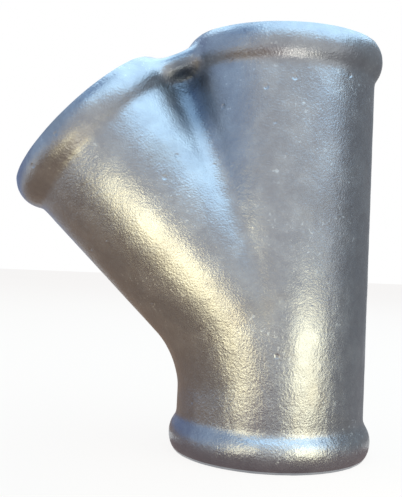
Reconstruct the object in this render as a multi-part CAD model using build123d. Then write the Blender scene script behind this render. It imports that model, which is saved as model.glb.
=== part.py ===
"""A 45 degree lateral wye for one-inch pipe, cast in malleable iron and hot-dip galvanised.

The run stands upright on its lower port and the branch leaves it up and to the left.
The part is one casting: a straight run barrel, a branch barrel that bends out of it, a
rounded band round each of the three ports, and a bar over a thin web in the crotch.

Millimetres, +Z up. The origin is the centre of the run's lower end face.
The run's axis is +Z, and the branch's axis lies in the XZ plane and leans towards -X.
"""

from build123d import *
from math import cos, radians, sin, sqrt, tan
import os

# ---- Driving dimensions ----

# Layout of the axes
branch_angle = 45.0        # between the branch's axis and the run's
short_leg = 28.0           # lower end face to the point where the axes cross
long_leg = 60.2            # that point to the upper end face, and to the branch's

# The ports: one-inch pipe thread, bored to the crest line of the thread
thread_crest_radius = 15.15
thread_length = 15.3       # end face to the last thread
countersink = 2.25         # depth and width of the bevel at the mouth

# The casting
chamber_relief = 1.75      # how far the cored chamber lies outside the thread's crests
wall = 3.5                 # from the chamber to the barrel's skin
branch_step = 0.1          # how much smaller the branch barrel's radius is
heel_radius = 18.6         # concave sweep under the branch
valley_radius = 4.5        # fillet in the valley between the two barrels

# The rounded band round each port
band_height = 1.6          # how far its crest stands out of the barrel
band_crest = 3.2           # end face to the crest
band_crown_radius = 5.5    # rounding over the crest, from the rim to the foot
rim_chamfer = 0.6          # broken edge round the end face

# The crotch: a bar that ties the two upper bands together, and a thinner web below it
bar_thickness = 18.0       # front to back
bar_height = 3.7
bar_depth = 0.4            # how far its top's ends lie below the end faces
bar_edge_radius = 3.0      # rounding along its upper front and back edges
web_thickness = 8.0        # front to back
crotch_root = 1.0          # how deep the ends of both reach into the barrels

# ---- Places worked out from them ----

chamber_radius = thread_crest_radius + chamber_relief
barrel_radius = chamber_radius + wall
run_length = short_leg + long_leg
port_depth = thread_length + chamber_relief       # end face to the chamber
band_radius = barrel_radius + band_height
crown_centre = band_radius - band_crown_radius
crossing = Vector(0, 0, short_leg)
run_up = Vector(0, 0, 1)
branch_direction = Vector(-sin(radians(branch_angle)), 0, cos(radians(branch_angle)))
half_angle = radians(branch_angle / 2)
crotch_up = Vector(-sin(half_angle), 0, cos(half_angle))
crotch_across = Vector(cos(half_angle), 0, sin(half_angle))


def port_plane(origin, direction):
    """A plane on an end face, its Z along the port's axis and pointing out of the port."""
    return Plane(origin=origin, x_dir=(0, 1, 0), z_dir=direction)


lower_port = port_plane((0, 0, 0), -run_up)
upper_port = port_plane(crossing + run_up * long_leg, run_up)
branch_port = port_plane(crossing + branch_direction * long_leg, branch_direction)
ports = [lower_port, upper_port, branch_port]


def crown_radius_at(depth):
    """The band's radius at a depth below its end face, on the arc over its crest."""
    return crown_centre + sqrt(band_crown_radius**2 - (band_crest - depth) ** 2)


rim_radius = crown_radius_at(rim_chamfer) - rim_chamfer


def barrels():
    """The run's barrel and the branch's, with the valley between them filled.

    The branch bends out of the run, so there is no crease under it. Each barrel stops
    inside its band, below the crest.
    """
    upright = (Align.CENTER, Align.CENTER, Align.MIN)
    run_barrel = Cylinder(barrel_radius, run_length - 2 * band_crest, align=upright)
    bend = heel_radius + barrel_radius
    start = crossing - run_up * bend * tan(half_angle)
    centre = start - Vector(bend, 0, 0)
    middle = centre + crotch_across * bend
    finish = crossing + branch_direction * bend * tan(half_angle)
    end = crossing + branch_direction * (long_leg - band_crest)
    path = Wire([ThreePointArc(start, middle, finish), Line(finish, end)])
    branch_barrel = sweep(Plane(start) * Circle(barrel_radius - branch_step), path=path)
    joined = Plane((0, 0, band_crest)) * run_barrel + branch_barrel
    valley = [e for e in joined.edges() if e.geom_type not in (GeomType.CIRCLE, GeomType.LINE)]
    return fillet(valley, valley_radius)


def band(port):
    """The rounded band round a port, as a solid disc from its end face to its foot."""
    foot_radius = barrel_radius - branch_step
    foot_depth = band_crest + sqrt(band_crown_radius**2 - (foot_radius - crown_centre) ** 2)
    shoulder = (crown_radius_at(rim_chamfer), -rim_chamfer)
    outline = Wire([
        Line((0, 0), (rim_radius, 0)),
        Line((rim_radius, 0), shoulder),
        ThreePointArc(shoulder, (band_radius, -band_crest), (foot_radius, -foot_depth)),
        Line((foot_radius, -foot_depth), (0, -foot_depth)),
        Line((0, -foot_depth), (0, 0)),
    ])
    return port * revolve(Plane.XZ * make_face(outline), axis=Axis.Z)


def crotch_corners(level):
    """Where the crotch's filling meets the two barrels, at a height along their axes."""
    side = barrel_radius - crotch_root
    run_corner = crossing + run_up * level - Vector(side, 0, 0)
    branch_corner = crossing + branch_direction * level
    branch_corner += Vector(branch_direction.Z, 0, -branch_direction.X) * side
    return run_corner, branch_corner


def crotch_web():
    """The thin web that fills the crotch from its apex up into the bar."""
    run_corner, branch_corner = crotch_corners(long_leg - bar_depth - bar_height / 2)
    apex = crossing + crotch_up * ((barrel_radius - crotch_root) / sin(half_angle))
    wedge = make_face(Polyline(apex, run_corner, branch_corner, close=True))
    return extrude(wedge, amount=web_thickness / 2, dir=(0, 1, 0), both=True)


def crotch_bar():
    """The bar across the top of the crotch, from one upper band to the other."""
    run_corner, branch_corner = crotch_corners(long_leg - bar_depth)
    drop = crotch_up * bar_height
    corners = [run_corner, branch_corner, branch_corner - drop, run_corner - drop]
    section = make_face(Polyline(corners, close=True))
    bar = extrude(section, amount=bar_thickness / 2, dir=(0, 1, 0), both=True)
    top = bar.faces().sort_by(lambda f: (f.center() - crossing).dot(crotch_up))[-1]
    long_edges = top.edges().filter_by(lambda e: abs(abs((e @ 0.5).Y) - bar_thickness / 2) < 0.01)
    return fillet(long_edges, bar_edge_radius)


def casting():
    """The outside of the fitting, solid all through."""
    body = barrels()
    for port in ports:
        body += band(port)
    return body + crotch_web() + crotch_bar()


def port_bore(port):
    """What is machined out of one port: countersink, thread crest bore and its run-out."""
    outline = Polyline(
        (0, 1),
        (thread_crest_radius + countersink + 1, 1),
        (thread_crest_radius, -countersink),
        (thread_crest_radius, -thread_length),
        (chamber_radius, -port_depth),
        (0, -port_depth),
        close=True,
    )
    return port * revolve(Plane.XZ * make_face(outline), axis=Axis.Z)


def waterway():
    """The hollow of the fitting: the cored chamber and the three threaded ports."""
    chamber_leg = long_leg - port_depth
    upright = (Align.CENTER, Align.CENTER, Align.MIN)
    run_core = Cylinder(chamber_radius, run_length - 2 * port_depth, align=upright)
    branch_core = Cylinder(chamber_radius, chamber_leg, align=upright)
    hollow = Plane((0, 0, port_depth)) * run_core
    hollow += Plane(origin=crossing, z_dir=branch_direction) * branch_core
    for port in ports:
        hollow += port_bore(port)
    return hollow


def wye_body():
    return casting() - waterway()


os.makedirs("parts", exist_ok=True)
body = wye_body()
export_step(body, "parts/wye_body.step")
print("wye_body volume", round(body.volume), "mm3, faces", len(body.faces()), "valid", body.is_valid)
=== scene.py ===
import bpy
import bmesh
from math import radians, sin, cos, pi
from mathutils import Vector, Matrix, Quaternion


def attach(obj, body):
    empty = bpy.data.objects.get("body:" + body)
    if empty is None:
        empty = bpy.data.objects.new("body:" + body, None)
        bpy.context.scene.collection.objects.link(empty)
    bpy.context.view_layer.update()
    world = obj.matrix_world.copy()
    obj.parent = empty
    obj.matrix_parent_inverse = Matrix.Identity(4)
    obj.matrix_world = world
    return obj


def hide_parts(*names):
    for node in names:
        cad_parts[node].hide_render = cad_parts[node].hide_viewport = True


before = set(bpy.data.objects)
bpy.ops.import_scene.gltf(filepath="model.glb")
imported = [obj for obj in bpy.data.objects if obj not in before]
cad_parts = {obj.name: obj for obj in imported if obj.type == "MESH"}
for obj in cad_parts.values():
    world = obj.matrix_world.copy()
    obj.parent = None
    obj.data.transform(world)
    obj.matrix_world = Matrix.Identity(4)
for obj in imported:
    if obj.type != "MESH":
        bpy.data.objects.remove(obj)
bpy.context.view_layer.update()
bpy.ops.object.select_all(action="DESELECT")
print("frame loaded")

mm = 0.001


class Wire:
    # a socket that can be added and multiplied; each sum or product becomes a Math node
    def __init__(self, finish, socket):
        self.finish = finish
        self.socket = socket

    def mathNode(self, operation, first, second, clamp=False):
        settings = {"operation": operation, "use_clamp": clamp}
        return self.finish.node("ShaderNodeMath", settings, {0: first, 1: second})

    def __add__(self, other):
        return self.mathNode("ADD", self, other)

    def __radd__(self, other):
        return self.mathNode("ADD", other, self)

    def __mul__(self, other):
        return self.mathNode("MULTIPLY", self, other)

    def __rmul__(self, other):
        return self.mathNode("MULTIPLY", other, self)

    def clipped(self):
        return self.mathNode("ADD", self, 0, clamp=True)

    def beside(self, output):
        # another output of the same node
        return Wire(self.finish, self.socket.node.outputs[output])


class Finish:
    # the node tree of a material or of the world
    def __init__(self, owner):
        owner.use_nodes = True
        self.owner = owner
        self.tree = owner.node_tree
        self.tree.nodes.clear()

    def node(self, kind, settings, values, output=0):
        made = self.tree.nodes.new(kind)
        for key, value in settings.items():
            setattr(made, key, value)
        for key, value in values.items():
            if isinstance(value, Wire):
                self.tree.links.new(value.socket, made.inputs[key])
            else:
                made.inputs[key].default_value = value
        return Wire(self, made.outputs[output]) if made.outputs else None

    def blend(self, mask, first, second):
        # a Mix node has its two colours at 6 and 7, and the mixed one at 2
        return self.node("ShaderNodeMix", {"data_type": "RGBA"}, {0: mask, 6: first, 7: second}, 2)


# the run stands on the floor, and the branch leans out of it to the left
leanAngle = radians(45)
crossing = Vector((0, 0, 28.0)) * mm
branchWay = Vector((-sin(leanAngle), 0, cos(leanAngle)))
ports = {
    "lower": {"middle": Vector((0, 0, 0)), "outward": Vector((0, 0, -1))},
    "upper": {"middle": Vector((0, 0, 88.2)) * mm, "outward": Vector((0, 0, 1))},
    "branch": {"middle": crossing + branchWay * 60.2 * mm, "outward": branchWay},
}


def chooseOnly(*chosen):
    bpy.ops.object.select_all(action="DESELECT")
    for piece in chosen:
        piece.select_set(True)
    bpy.context.view_layer.objects.active = chosen[0]


def settle(piece):
    # the object goes back to the origin and keeps its place in its mesh
    chooseOnly(piece)
    bpy.ops.object.transform_apply(location=True, rotation=True, scale=True)


def applyModifiers(piece):
    chooseOnly(piece)
    for modifier in list(piece.modifiers):
        bpy.ops.object.modifier_apply(modifier=modifier.name)


def standAtPort(tool, port):
    # a tool is made along z, with its zero on the end face and z pointing out of the fitting
    turn = port["outward"].to_track_quat("Z", "Y").to_matrix().to_4x4()
    tool.matrix_world = Matrix.Translation(port["middle"]) @ turn
    settle(tool)


def copiesAtPorts(model, names):
    # the model is made once; each port gets a copy with its own mesh, and the model goes
    copies = []
    for name in names:
        piece = bpy.data.objects.new(model.name, model.data.copy())
        bpy.context.scene.collection.objects.link(piece)
        standAtPort(piece, ports[name])
        copies.append(piece)
    bpy.data.objects.remove(model)
    return copies


def cutAway(piece, tool, solver="MANIFOLD"):
    cut = piece.modifiers.new("cut", "BOOLEAN")
    cut.operation = "DIFFERENCE"
    cut.solver = solver
    if solver == "MANIFOLD":
        cut.material_mode = "TRANSFER"
    cut.object = tool
    applyModifiers(piece)
    bpy.data.objects.remove(tool)


def selectFaces(piece, wanted):
    # in edit mode: selects the faces whose middle and normal suit
    mesh = bmesh.from_edit_mesh(piece.data)
    for face in mesh.faces:
        face.select = wanted(face.calc_center_median(), face.normal)
    bmesh.update_edit_mesh(piece.data)


# rough casting: the bare solid with stock left in its ports, rounded all over as a sand casting is
casting = {
    "stockRadius": 19.2 * mm,      # buried in the wall
    "stockBore": 14.2 * mm,        # left for the tap to open
    "stockDepth": 16.9 * mm,
    "rimRadius": 20.75 * mm,
    "rimExtra": 0.8 * mm,          # faced off later
    "overlap": 0.3 * mm,
    "grain": 0.7 * mm,
    "softening": 8,
}

# crotch: a thick bar between the two upper bands, and what is trimmed off above it
crotch = {
    "middle": Vector((-22.4, 0, 82.0)) * mm,
    "size": (15.0 * mm, 24.0 * mm, 4.8 * mm),
    "rounding": 2.2 * mm,
    "trimSize": (16 * mm, 34 * mm, 6 * mm),
    "trimLift": 3.35 * mm,         # from the bar's top to the middle of the trim
    "bandRadius": 22.2 * mm,       # kept clear round each band: 5 mm below its end face
    "rimRadius": 20.4 * mm,        # and 1 mm above it
    "guardHeight": 6 * mm,
    "guardMiddle": -2 * mm,
    "reach": 16 * mm,
    "chamberReach": 30 * mm,       # nearer the crossing than this nothing melts
    "softening": 80,
}


def castingCopy():
    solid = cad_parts["wye_body"]
    piece = bpy.data.objects.new("wyeCasting", solid.data.copy())
    bpy.context.scene.collection.objects.link(piece)
    chooseOnly(piece)
    bpy.ops.mesh.customdata_custom_splitnormals_clear()
    bpy.ops.object.mode_set(mode="EDIT")
    bpy.ops.mesh.select_all(action="SELECT")
    bpy.ops.mesh.remove_doubles(threshold=1e-6)
    bpy.ops.mesh.faces_shade_smooth()
    bpy.ops.mesh.mark_sharp(clear=True)
    bpy.ops.object.mode_set(mode="OBJECT")
    return piece


def stockRing(outerRadius, innerRadius, low, high):
    bpy.ops.object.select_all(action="DESELECT")
    bpy.ops.mesh.primitive_cylinder_add(vertices=96, radius=outerRadius, depth=high - low,
                                        location=(0, 0, (high + low) / 2))
    ring = bpy.context.object
    settle(ring)
    bpy.ops.object.mode_set(mode="EDIT")
    bpy.ops.mesh.select_mode(type="FACE")
    selectFaces(ring, lambda middle, normal: abs(normal.z) > 0.9)
    bpy.ops.mesh.inset(thickness=outerRadius - innerRadius)
    bpy.ops.mesh.bridge_edge_loops()
    bpy.ops.object.mode_set(mode="OBJECT")
    return ring


def crotchBar(bar):
    # the thick bar at the top of the crotch, that ties the two upper bands together
    bpy.ops.object.select_all(action="DESELECT")
    bpy.ops.mesh.primitive_cube_add(size=1, location=bar["middle"], scale=bar["size"])
    piece = bpy.context.object
    bpy.ops.object.mode_set(mode="EDIT")
    bpy.ops.mesh.select_all(action="SELECT")
    bpy.ops.transform.rotate(value=leanAngle / 2, orient_axis="Y", center_override=bar["middle"])
    bpy.ops.mesh.bevel(offset=bar["rounding"], segments=4, affect="EDGES")
    bpy.ops.object.mode_set(mode="OBJECT")
    settle(piece)
    return piece


def crotchRelief(bar):
    # trims what stands above the bar, between the two bands: a block hollowed round both of them
    upward = Vector((-sin(leanAngle / 2), 0, cos(leanAngle / 2)))
    blockMiddle = bar["middle"] + upward * (bar["size"][2] / 2 + bar["trimLift"])
    bpy.ops.object.select_all(action="DESELECT")
    bpy.ops.mesh.primitive_cube_add(size=1, location=blockMiddle, scale=bar["trimSize"])
    block = bpy.context.object
    bpy.ops.object.mode_set(mode="EDIT")
    bpy.ops.mesh.select_all(action="SELECT")
    bpy.ops.transform.rotate(value=leanAngle / 2, orient_axis="Y", center_override=blockMiddle)
    bpy.ops.object.mode_set(mode="OBJECT")
    settle(block)
    bpy.ops.object.select_all(action="DESELECT")
    bpy.ops.mesh.primitive_cone_add(vertices=128, radius1=bar["bandRadius"], radius2=bar["rimRadius"],
                                    depth=bar["guardHeight"], location=(0, 0, bar["guardMiddle"]))
    guard = bpy.context.object
    settle(guard)
    for copied in copiesAtPorts(guard, ("upper", "branch")):
        cutAway(block, copied)
    return block


def markSpot(piece, name, weightAt):
    # a vertex group whose weight depends on the place
    group = piece.vertex_groups.new(name=name)
    for vertex in piece.data.vertices:
        weight = weightAt(vertex.co)
        if weight > 0.01:
            group.add([vertex.index], min(1, weight), "REPLACE")
    return group.name


def ripple(piece, name, width, height, spot="", stretch=None):
    # zinc runs and lumps: the skin is pushed in and out by a cloud of that width
    cloud = bpy.data.textures.new(name, "CLOUDS")
    cloud.noise_scale = width
    push = piece.modifiers.new(name, "DISPLACE")
    push.texture = cloud
    push.strength = height
    push.mid_level = 0.5
    push.vertex_group = spot
    push.texture_coords = "LOCAL"
    if not stretch:
        applyModifiers(piece)
        return
    guide = bpy.data.objects.new(name + "Guide", None)
    bpy.context.scene.collection.objects.link(guide)
    guide.scale = stretch
    bpy.context.view_layer.update()
    push.texture_coords = "OBJECT"
    push.texture_coords_object = guide
    applyModifiers(piece)
    bpy.data.objects.remove(guide)


# skin: how wide and how deep the sand and the zinc have left their marks
skin = {
    "sandWidth": 5.0 * mm,
    "sandHeight": 0.10 * mm,
    "lumpWidth": 1.9 * mm,
    "lumpHeight": 0.03 * mm,
    "runsHeight": 0.08 * mm,
    "runsStretch": (1.6 * mm, 1.6 * mm, 6.0 * mm),
    "runsTop": 42 * mm,            # the zinc drained down the run's lower half
    "runsFade": 20 * mm,
}

wye = castingCopy()
cutAway(wye, crotchRelief(crotch), "EXACT")
linings = copiesAtPorts(stockRing(casting["stockRadius"], casting["stockBore"],
                                  -casting["stockDepth"], casting["overlap"]), ports)
rims = copiesAtPorts(stockRing(casting["rimRadius"], casting["stockBore"],
                               -casting["overlap"], casting["rimExtra"]), ports)
stock = [crotchBar(crotch)]
for lining, rim in zip(linings, rims):
    stock += [lining, rim]
chooseOnly(wye, *stock)
bpy.ops.object.join()
wye.data.remesh_voxel_size = casting["grain"]
wye.data.remesh_voxel_adaptivity = 0
bpy.ops.object.voxel_remesh()


def soften(piece, name, turns, spot=""):
    smooth = piece.modifiers.new(name, "SMOOTH")
    smooth.factor = 0.5
    smooth.iterations = turns
    smooth.vertex_group = spot
    applyModifiers(piece)


def nearCrotch(place):
    away = (place - crotch["middle"]).length / crotch["reach"]
    return max(0, 1 - away ** 2) if (place - crossing).length > crotch["chamberReach"] else 0


def towardsFoot(place):
    return max(0, min(1, (skin["runsTop"] - place.z) / skin["runsFade"]))


soften(wye, "soften", casting["softening"])
soften(wye, "melt", crotch["softening"], markSpot(wye, "crotch", nearCrotch))
ripple(wye, "sandSkin", skin["sandWidth"], skin["sandHeight"])
ripple(wye, "zincLumps", skin["lumpWidth"], skin["lumpHeight"])
ripple(wye, "zincRuns", 1.0, skin["runsHeight"], markSpot(wye, "zincRuns", towardsFoot), skin["runsStretch"])
print("rough casting", len(wye.data.polygons))

# ports: a 55 degree pipe thread of 11 turns to the inch, and a facing cut with its countersink
threadCut = {
    "crest": 15.15 * mm,
    "root": 16.62 * mm,
    "pitch": 2.309 * mm,
    "rounding": 0.316 * mm,
    "depth": 17.6 * mm,
    "lift": 1.5 * mm,              # above the end face
    "steps": 96,
}
facingCut = {
    "mouth": 17.4 * mm,
    "throat": 14.8 * mm,
    "depth": 2.6 * mm,
    "reach": 26.0 * mm,
    "lift": 2.0 * mm,
}


def threadOutline(cut):
    # one turn of the thread, upwards: half a crest, the root, and half the next crest
    pitch, rounding = cut["pitch"], cut["rounding"]
    crestMiddle, rootMiddle = cut["crest"] + rounding, cut["root"] - rounding
    outline = []
    for angle in (0, 31.25, 62.5):
        outline.append((crestMiddle - rounding * cos(radians(angle)), rounding * sin(radians(angle))))
    for angle in (62.5, 31.25, 0, -31.25, -62.5):
        up = pitch / 2 - rounding * sin(radians(angle))
        outline.append((rootMiddle + rounding * cos(radians(angle)), up))
    for angle in (62.5, 31.25, 0):
        up = pitch - rounding * sin(radians(angle))
        outline.append((crestMiddle - rounding * cos(radians(angle)), up))
    return [Vector((across, 0, up)) for across, up in outline]


def pipeTap(cut):
    # the outline is drawn out of one point, wound up along z and trimmed at both ends
    low, high = -cut["depth"], cut["lift"]
    outline = threadOutline(cut)
    start = outline[0] + Vector((0, 0, low - 1.7 * cut["pitch"]))
    bpy.ops.object.select_all(action="DESELECT")
    bpy.ops.mesh.primitive_plane_add(size=cut["pitch"], location=start)
    tap = bpy.context.object
    settle(tap)
    bpy.ops.object.mode_set(mode="EDIT")
    bpy.ops.mesh.select_mode(type="VERT")
    bpy.ops.mesh.merge(type="CENTER")
    for last, spot in zip(outline, outline[1:]):
        bpy.ops.mesh.extrude_region_move(TRANSFORM_OT_translate={"value": spot - last})
    bpy.ops.object.mode_set(mode="OBJECT")
    screw = tap.modifiers.new("screw", "SCREW")
    screw.axis = "Z"
    screw.steps = screw.render_steps = cut["steps"]
    screw.iterations = int((high - low) / cut["pitch"]) + 5
    screw.screw_offset = cut["pitch"]
    applyModifiers(tap)
    bpy.ops.object.mode_set(mode="EDIT")
    bpy.ops.mesh.select_all(action="SELECT")
    bpy.ops.mesh.remove_doubles(threshold=1e-6)
    for height, side in ((low, "clear_inner"), (high, "clear_outer")):
        bpy.ops.mesh.select_all(action="SELECT")
        bpy.ops.mesh.bisect(plane_co=(0, 0, height), plane_no=(0, 0, 1), use_fill=True,
                            threshold=1e-7, **{side: True})
    bpy.ops.mesh.select_all(action="SELECT")
    bpy.ops.mesh.normals_make_consistent(inside=False)
    bpy.ops.object.mode_set(mode="OBJECT")
    return tap


def facingTool(cut):
    # a disc that clears the end face, with a cone below it for the countersink
    bpy.ops.object.select_all(action="DESELECT")
    bpy.ops.mesh.primitive_cylinder_add(vertices=128, radius=cut["reach"], depth=cut["lift"],
                                        location=(0, 0, cut["lift"] / 2))
    tool = bpy.context.object
    settle(tool)
    bpy.ops.object.mode_set(mode="EDIT")
    bpy.ops.mesh.select_mode(type="FACE")
    selectFaces(tool, lambda middle, normal: normal.z < -0.9)
    bpy.ops.mesh.inset(thickness=cut["reach"] - cut["mouth"])
    bpy.ops.mesh.extrude_region_move(TRANSFORM_OT_translate={"value": (0, 0, -cut["depth"])})
    narrowing = cut["throat"] / cut["mouth"]
    bpy.ops.transform.resize(value=(narrowing, narrowing, 1))
    bpy.ops.object.mode_set(mode="OBJECT")
    return tool


# hot-dip zinc over a sand-cast skin: grey, mottled, with a fine grain that breaks its shine up
zincLook = {
    "grey": (0.28, 0.29, 0.315, 1),
    "bright": (0.37, 0.385, 0.405, 1),
    "mottleWidth": 7 * mm,
    "mottleShare": 0.55,
    "spangleWidth": 1.1 * mm,
    "spangleShare": 0.25,
    "tarnish": (0.25, 0.215, 0.175, 1),
    "tarnishWidth": 16 * mm,
    "tarnishShare": 0.3,
    "salts": (0.52, 0.54, 0.55, 1),
    "saltsWidth": 0.8 * mm,
    "saltsPatch": 14 * mm,
    "saltsShare": 0.7,
    # painted shade for the crotch corner: a dark blue-grey laid into the colour
    "stainAndShade": (0.08, 0.105, 0.14, 1),
    "cornerShadeShare": 0.85,
    "cornerMiddle": Vector((-19.5, -11.2, 76.0)) * mm,
    "cornerTurn": Vector((5.8, -5.7, -17.0)).to_track_quat("Z", "Y").to_euler(),
    "cornerSize": Vector((5.5, 5.5, 15.0)) * mm,
    "metal": 0.95,
    "roughness": 0.33,
    "roughnessWidth": 2.2 * mm,
    "roughnessRange": 0.22,
    "grainWidth": 0.42 * mm,
    "grainHeight": 0.08 * mm,
    "lumpWidth": 1.5 * mm,
    "lumpHeight": 0.05 * mm,
    "wrinkleWidth": 0.8 * mm,
    "wrinkleTop": 45 * mm,         # none above this height, and at their deepest below the next
    "wrinkleFoot": 15 * mm,
    "pitSpacing": 6.5 * mm,
    "pitHeight": 0.10 * mm,
}


def zincFinish(look):
    finish = Finish(bpy.data.materials.new("zincSkin"))
    place = finish.node("ShaderNodeTexCoord", {}, {}, "Object")
    placeX = finish.node("ShaderNodeSeparateXYZ", {}, {"Vector": place}, "X")
    placeY, placeZ = placeX.beside("Y"), placeX.beside("Z")

    def cloud(width, detail, where=place, rough=0.55):
        return finish.node("ShaderNodeTexNoise", {},
                           {"Vector": where, "Scale": 1 / width, "Detail": detail, "Roughness": rough}, 0)

    def between(low, high, wire):
        return finish.node("ShaderNodeMapRange", {"interpolation_type": "SMOOTHSTEP"},
                           {"Value": wire, "From Min": low, "From Max": high})

    mottle = between(0.42, 0.62, cloud(look["mottleWidth"], 5)) * look["mottleShare"]
    spangle = between(0.35, 0.68, cloud(look["spangleWidth"], 3)) * look["spangleShare"]
    tarnish = between(0.56, 0.75, cloud(look["tarnishWidth"], 4)) * look["tarnishShare"]
    salts = between(0.64, 0.72, cloud(look["saltsWidth"], 1))
    salts = salts * between(0.48, 0.62, cloud(look["saltsPatch"], 2)) * look["saltsShare"]
    colour = finish.blend(mottle + spangle, look["grey"], look["bright"])
    colour = finish.blend(tarnish, colour, look["tarnish"])
    colour = finish.blend(salts, colour, look["salts"])

    # painted shade: the corner of the crotch, front and back, is darkened in the colour where the groove and
    # pocket lie in shade
    depth = finish.node("ShaderNodeMath", {"operation": "ABSOLUTE"}, {0: placeY}) * -1
    folded = finish.node("ShaderNodeCombineXYZ", {}, {"X": placeX, "Y": depth, "Z": placeZ})
    corner = finish.node("ShaderNodeMapping", {"vector_type": "TEXTURE"}, {
        "Vector": folded, "Location": look["cornerMiddle"], "Rotation": look["cornerTurn"],
        "Scale": look["cornerSize"]})
    away = finish.node("ShaderNodeVectorMath", {"operation": "LENGTH"}, {0: corner}, "Value")
    colour = finish.blend(between(1.0, 0.35, away) * look["cornerShadeShare"], colour, look["stainAndShade"])

    # the run's lower half carries fine upright wrinkles where the zinc drained
    drained = finish.node("ShaderNodeMapping", {}, {"Vector": place, "Scale": (1, 1, 0.28)})
    wrinkles = cloud(look["wrinkleWidth"], 2, drained)
    wrinkles = wrinkles * between(look["wrinkleTop"], look["wrinkleFoot"], placeZ)
    pits = finish.node("ShaderNodeTexVoronoi", {"feature": "F1"},
                       {"Vector": place, "Scale": 1 / look["pitSpacing"]}, "Distance")
    grain = cloud(look["grainWidth"], 2, rough=0.6)
    lumps = cloud(look["lumpWidth"], 2) + wrinkles
    bump = finish.node("ShaderNodeBump", {}, {
        "Distance": look["grainHeight"], "Height": grain}, "Normal")
    bump = finish.node("ShaderNodeBump", {}, {
        "Distance": look["lumpHeight"], "Height": lumps, "Normal": bump}, "Normal")
    bump = finish.node("ShaderNodeBump", {"invert": True}, {
        "Distance": look["pitHeight"], "Height": between(0.10, 0.04, pits), "Normal": bump}, "Normal")

    roughness = cloud(look["roughnessWidth"], 3) * look["roughnessRange"]
    roughness = roughness + (look["roughness"] - look["roughnessRange"] / 2) + salts * 0.2 + tarnish * 0.1
    shader = finish.node("ShaderNodeBsdfPrincipled", {}, {
        "Base Color": colour, "Metallic": look["metal"], "Roughness": roughness, "Normal": bump})
    finish.node("ShaderNodeOutputMaterial", {}, {"Surface": shader})
    return finish.owner


# bright tool marks, left bare by the zinc
cutIronLook = {
    "dark": (0.30, 0.29, 0.28, 1),
    "light": (0.42, 0.41, 0.40, 1),
    "stainWidth": 3 * mm,
    "roughness": 0.2,
    "roughnessRange": 0.2,
}


def cutIronFinish(look):
    finish = Finish(bpy.data.materials.new("cutIron"))
    place = finish.node("ShaderNodeTexCoord", {}, {}, "Object")
    stainAndShade = finish.node("ShaderNodeTexNoise", {}, {
        "Vector": place, "Scale": 1 / look["stainWidth"], "Detail": 4}, 0)
    shader = finish.node("ShaderNodeBsdfPrincipled", {}, {
        "Base Color": finish.blend(stainAndShade, look["dark"], look["light"]), "Metallic": 1.0,
        "Roughness": stainAndShade * look["roughnessRange"] + look["roughness"]})
    finish.node("ShaderNodeOutputMaterial", {}, {"Surface": shader})
    return finish.owner


wye.data.materials.clear()
wye.data.materials.append(zincFinish(zincLook))
cutIron = cutIronFinish(cutIronLook)
portTools = []
for tool in (pipeTap(threadCut), facingTool(facingCut)):
    tool.data.materials.append(cutIron)
    portTools.append(copiesAtPorts(tool, ports))
for tap, facing in zip(*portTools):
    cutAway(wye, tap)
    cutAway(wye, facing)
chooseOnly(wye)
bpy.ops.object.shade_smooth_by_angle(angle=radians(35))
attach(wye, "root")
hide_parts("wye_body")
print("ports cut", len(wye.data.polygons), [m.name for m in wye.data.materials])

# camera: a hand's length in front of the fitting, tilted two degrees
camera = {
    "at": (-0.0124, -0.1643, 0.04036),
    "forward": (-0.02424, 0.99952, 0.01931),
    "up": (-0.03881, -0.02024, 0.99904),
    "lens": 53.43,
}


def placeCamera(settings):
    forward = Vector(settings["forward"]).normalized()
    right = forward.cross(Vector(settings["up"])).normalized()
    up = right.cross(forward)
    turn = Matrix((right, up, -forward)).transposed().to_4x4()
    bpy.ops.object.camera_add(location=settings["at"])
    placed = bpy.context.object
    placed.name = "frontCamera"
    placed.matrix_world = Matrix.Translation(settings["at"]) @ turn
    placed.data.lens = settings["lens"]
    placed.data.sensor_width = 36
    placed.data.clip_start = 0.01
    bpy.context.scene.camera = placed


placeCamera(camera)
print("camera placed")

# lamps: a wide cool panel overhead, and four small warm ones close in front, each for one area
lampPanels = {
    "overheadPanel": {
        "at": (0.26, -0.04, 0.42), "faces": (0.22, -0.04, 0.04), "size": (1.08, 1.28),
        "roll": 0, "spread": 180, "tint": (0.38, 0.72, 1.0), "radiance": 2.2},
    "leftWarmPanel": {
        "at": (-0.040, -0.055, 0.026), "faces": (-0.0095, 0.040, 0.036), "size": (0.046, 0.030),
        "roll": 128, "spread": 84, "tint": (1.0, 0.89, 0.52), "radiance": 1.25},
    "rightWarmPanel": {
        "at": (0.029, -0.048, 0.015), "faces": (0.0058, -0.0195, 0.018), "size": (0.028, 0.030),
        "roll": 0, "spread": 120, "tint": (1.0, 0.93, 0.60), "radiance": 1.7},
    "upperWarmPanel": {
        "at": (0.020, -0.080, 0.023), "faces": (0.004, -0.021, 0.083), "size": (0.045, 0.020),
        "roll": 0, "spread": 60, "tint": (1.0, 0.93, 0.78), "radiance": 0.5},
    "footWarmPanel": {
        "at": (-0.026, -0.060, 0.020), "faces": (-0.041, -0.021, 0.063), "size": (0.024, 0.020),
        "roll": 0, "spread": 60, "tint": (1.0, 0.90, 0.62), "radiance": 0.25},
}


def placePanel(name, panel):
    away = Vector(panel["at"]) - Vector(panel["faces"])
    bpy.ops.object.light_add(type="AREA", location=panel["at"])
    lamp = bpy.context.object
    lamp.name = name
    roll = Quaternion((0, 0, 1), radians(panel["roll"]))
    lamp.rotation_euler = (away.to_track_quat("Z", "Y") @ roll).to_euler()
    lamp.data.shape = "RECTANGLE"
    lamp.data.size, lamp.data.size_y = panel["size"]
    lamp.data.spread = radians(panel["spread"])
    lamp.data.color = panel["tint"]
    lamp.data.energy = panel["radiance"] * pi * panel["size"][0] * panel["size"][1]
    lamp.visible_camera = False


for panelName, panel in lampPanels.items():
    placePanel(panelName, panel)


print("lamps placed")

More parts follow.
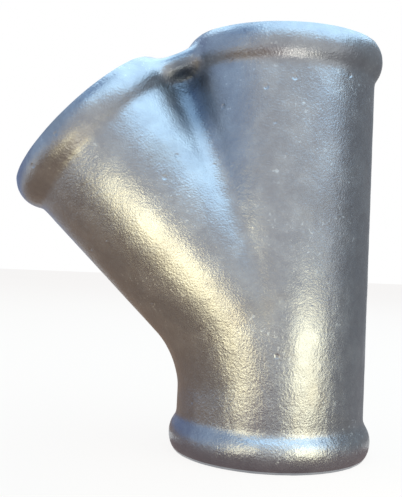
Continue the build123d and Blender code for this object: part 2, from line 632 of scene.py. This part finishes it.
# studio: a pale floor under a white surround that also fills the shadows
studioLook = {
    "fill": (0.55, 0.58, 0.62, 1),
    "fillStrength": 0.7,
    "white": (1, 1, 1, 1),
    "floorSize": 4,
    "floorPaint": (0.95, 0.66, 0.5, 1),
    "floorGlow": 0.88,             # the rest of the floor's look is its shadow
}


def seenRays(finish):
    # what the eye, shiny metal and glass see
    eye = finish.node("ShaderNodeLightPath", {}, {}, "Is Camera Ray")
    return (eye + eye.beside("Is Glossy Ray") + eye.beside("Is Transmission Ray")).clipped()


def surround(look):
    sky = Finish(bpy.data.worlds.new("studio"))
    fill = sky.node("ShaderNodeBackground", {}, {"Color": look["fill"], "Strength": look["fillStrength"]})
    white = sky.node("ShaderNodeBackground", {}, {"Color": look["white"], "Strength": 1})
    mixed = sky.node("ShaderNodeMixShader", {}, {0: seenRays(sky), 1: fill, 2: white})
    sky.node("ShaderNodeOutputWorld", {}, {"Surface": mixed})
    return sky.owner


def paleFloor(look):
    bpy.ops.object.select_all(action="DESELECT")
    bpy.ops.mesh.primitive_plane_add(size=look["floorSize"], location=(0, 0, 0))
    floor = bpy.context.object
    floor.name = "paleFloor"
    paint = Finish(bpy.data.materials.new("paleFloorPaint"))
    matt = paint.node("ShaderNodeBsdfDiffuse", {}, {"Color": look["floorPaint"]})
    glow = paint.node("ShaderNodeEmission", {}, {"Color": look["white"], "Strength": 1})
    lit = paint.node("ShaderNodeMixShader", {}, {0: seenRays(paint) * look["floorGlow"], 1: matt, 2: glow})
    paint.node("ShaderNodeOutputMaterial", {}, {"Surface": lit})
    floor.data.materials.append(paint.owner)
    return floor


bpy.context.scene.world = surround(studioLook)
bpy.context.scene.view_settings.view_transform = "Standard"
floor = paleFloor(studioLook)

# cards that only show in the metal: dark and grey to the right, blue to the left, and warm ones on the floor
cards = {
    "darkCard": {
        "at": (0.16, 0.065, 0.06), "faces": (0, 0, 0.04), "size": (0.30, 0.26),
        "colour": (0.31, 0.31, 0.32, 1)},
    "greyCard": {
        "at": (0.135, 0.02, 0.003), "faces": (0.135, 0.02, 0.1), "size": (0.22, 0.24),
        "colour": (0.38, 0.37, 0.38, 1)},
    "blueCard": {
        "at": (-0.19, -0.07, 0.14), "faces": (0, 0, 0.05), "size": (0.26, 0.26),
        "colour": (0.60, 0.78, 1.05, 1)},
    "dimBlueCard": {
        "at": (-0.17, 0.13, 0.10), "faces": (0, 0, 0.05), "size": (0.26, 0.26),
        "colour": (0.30, 0.38, 0.62, 1)},
    "deepBlueCard": {
        "at": (-0.089, -0.060, 0.197), "faces": (-0.019, -0.011, 0.074), "size": (0.08, 0.08),
        "colour": (0.28, 0.48, 0.88, 1)},
    "nearFloorCard": {
        "at": (0, -0.035, 0.0005), "faces": (0, -0.035, 0.1), "size": (0.11, 0.07),
        "colour": (0.34, 0.27, 0.27, 1)},
    "roseCard": {
        "at": (-0.06, -0.10, 0.002), "faces": (-0.06, -0.10, 0.1), "size": (0.10, 0.14),
        "colour": (0.70, 0.56, 0.56, 1)},
    "brownCard": {
        "at": (-0.087, 0.0, 0.003), "faces": (-0.087, 0.0, 0.1), "size": (0.126, 0.22),
        "colour": (0.40, 0.29, 0.22, 1)},
}


def placeCard(name, card):
    bpy.ops.object.select_all(action="DESELECT")
    bpy.ops.mesh.primitive_plane_add(size=1, location=card["at"])
    piece = bpy.context.object
    piece.name = name
    towards = Vector(card["faces"]) - Vector(card["at"])
    piece.rotation_euler = towards.to_track_quat("Z", "Y").to_euler()
    piece.scale = (card["size"][0], card["size"][1], 1)
    settle(piece)
    paint = Finish(bpy.data.materials.new(name + "Paint"))
    flat = paint.node("ShaderNodeEmission", {}, {"Color": card["colour"], "Strength": 1})
    paint.node("ShaderNodeOutputMaterial", {}, {"Surface": flat})
    piece.data.materials.append(paint.owner)
    piece.visible_camera = piece.visible_diffuse = piece.visible_shadow = piece.visible_transmission = False


for cardName, card in cards.items():
    placeCard(cardName, card)
print("floor and", len(cards), "cards placed")
